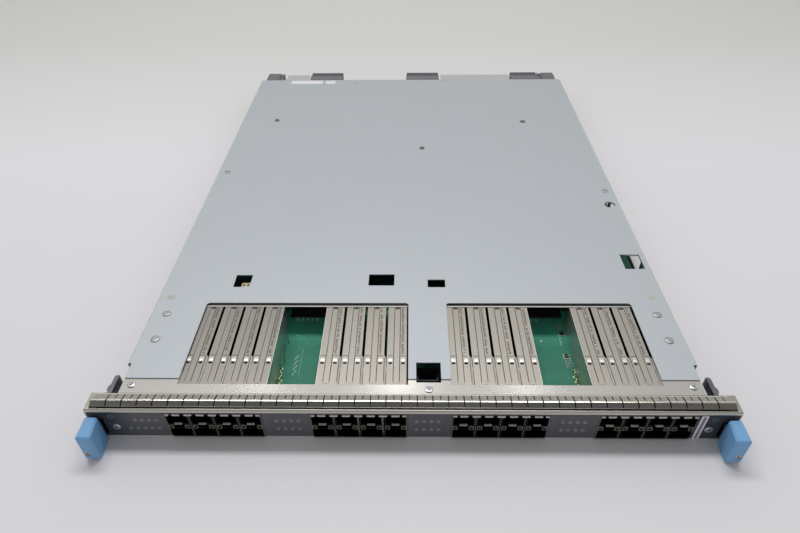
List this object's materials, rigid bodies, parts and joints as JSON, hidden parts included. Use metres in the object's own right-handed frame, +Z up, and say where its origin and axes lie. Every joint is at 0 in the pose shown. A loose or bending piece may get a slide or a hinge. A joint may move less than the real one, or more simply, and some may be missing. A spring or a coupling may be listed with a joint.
{
  "type": "switch line card",
  "caption": "Full-width switch line card: shallow steel tray and cut-out cover round a circuit board, stacked port cages behind a dark faceplate, rear plugs and two swinging ejectors.",
  "frame": {"origin": "centre of the whole card's outline, on its underside", "axes": "+X to the right seen from the faceplate, +Y from the faceplate to the rear plugs, +Z up from the tray to the cover"},
  "size_m": [0.4318, 0.5904, 0.0317],
  "materials": {
    "case_steel": "zinc-coated sheet, matt",
    "bracket_steel": "brushed",
    "face_steel": "brushed",
    "overlay_film": "fine texture",
    "light_guide": "clear moulding",
    "gasket_spring": "bright",
    "circuit_board": "solder mask",
    "cage_steel": "satin plated",
    "connector_plastic": "moulded",
    "light_pipe": "clear moulding",
    "lever_steel": "zinc plated",
    "knob_plastic": "moulded, satin",
    "screw_steel": "bright",
    "plug_plastic": "moulded",
    "guide_plastic": "moulded",
    "heat_sink": "extruded",
    "chip": "moulded",
    "brick": "potted",
    "capacitor_can": "can",
    "header_plastic": "moulded",
    "spacer_brass": "turned"
  },
  "bodies": {
    "card": {"backplane_plug_centre": "plug_plastic", "backplane_plug_left": "plug_plastic", "backplane_plug_right": "plug_plastic", "board_headers": "header_plastic", "board_spacers": "spacer_brass", "bottom_tray": "case_steel", "bracket_screws": "screw_steel", "cage_springs": "gasket_spring", "capacitors": "capacitor_can", "cover_posts": "screw_steel", "cover_screws": "screw_steel", "ejector_bracket_left": "lever_steel", "ejector_bracket_right": "lever_steel", "ejector_pin_left": "screw_steel", "ejector_pin_right": "screw_steel", "emi_gasket": "gasket_spring", "face_overlay": "overlay_film", "face_screws": "screw_steel", "faceplate": "face_steel", "front_bracket": "bracket_steel", "guide_block_left": "guide_plastic", "guide_block_right": "guide_plastic", "heat_sinks": "heat_sink", "light_guides": "light_guide", "light_pipes": "light_pipe", "main_board": "circuit_board", "memory_chips": "chip", "port_cage_01": "cage_steel", "port_cage_02": "cage_steel", "port_cage_03": "cage_steel", "port_cage_04": "cage_steel", "port_cage_05": "cage_steel", "port_cage_06": "cage_steel", "port_cage_07": "cage_steel", "port_cage_08": "cage_steel", "port_cage_09": "cage_steel", "port_cage_10": "cage_steel", "port_cage_11": "cage_steel", "port_cage_12": "cage_steel", "port_cage_13": "cage_steel", "port_cage_14": "cage_steel", "port_cage_15": "cage_steel", "port_cage_16": "cage_steel", "port_connectors_1": "connector_plastic", "port_connectors_2": "connector_plastic", "port_connectors_3": "connector_plastic", "port_connectors_4": "connector_plastic", "power_bricks": "brick", "processors": "chip", "rear_stiffener": "bracket_steel", "top_cover": "case_steel"},
    "left_ejector": {"ejector_lever_left": "lever_steel", "ejector_knob_left": "knob_plastic", "knob_screw_left": "screw_steel"},
    "right_ejector": {"ejector_lever_right": "lever_steel", "ejector_knob_right": "knob_plastic", "knob_screw_right": "screw_steel"}
  },
  "joints": [
    {"name": "left_ejector_swing", "type": "hinge", "parent": "card", "child": "left_ejector", "pos_m": [-0.21, -0.26275, 0.013], "axis": [0, 0, -1], "range_deg": [0, 50]},
    {"name": "right_ejector_swing", "type": "hinge", "parent": "card", "child": "right_ejector", "pos_m": [0.21, -0.26275, 0.013], "axis": [0, 0, 1], "range_deg": [0, 50]}
  ]
}
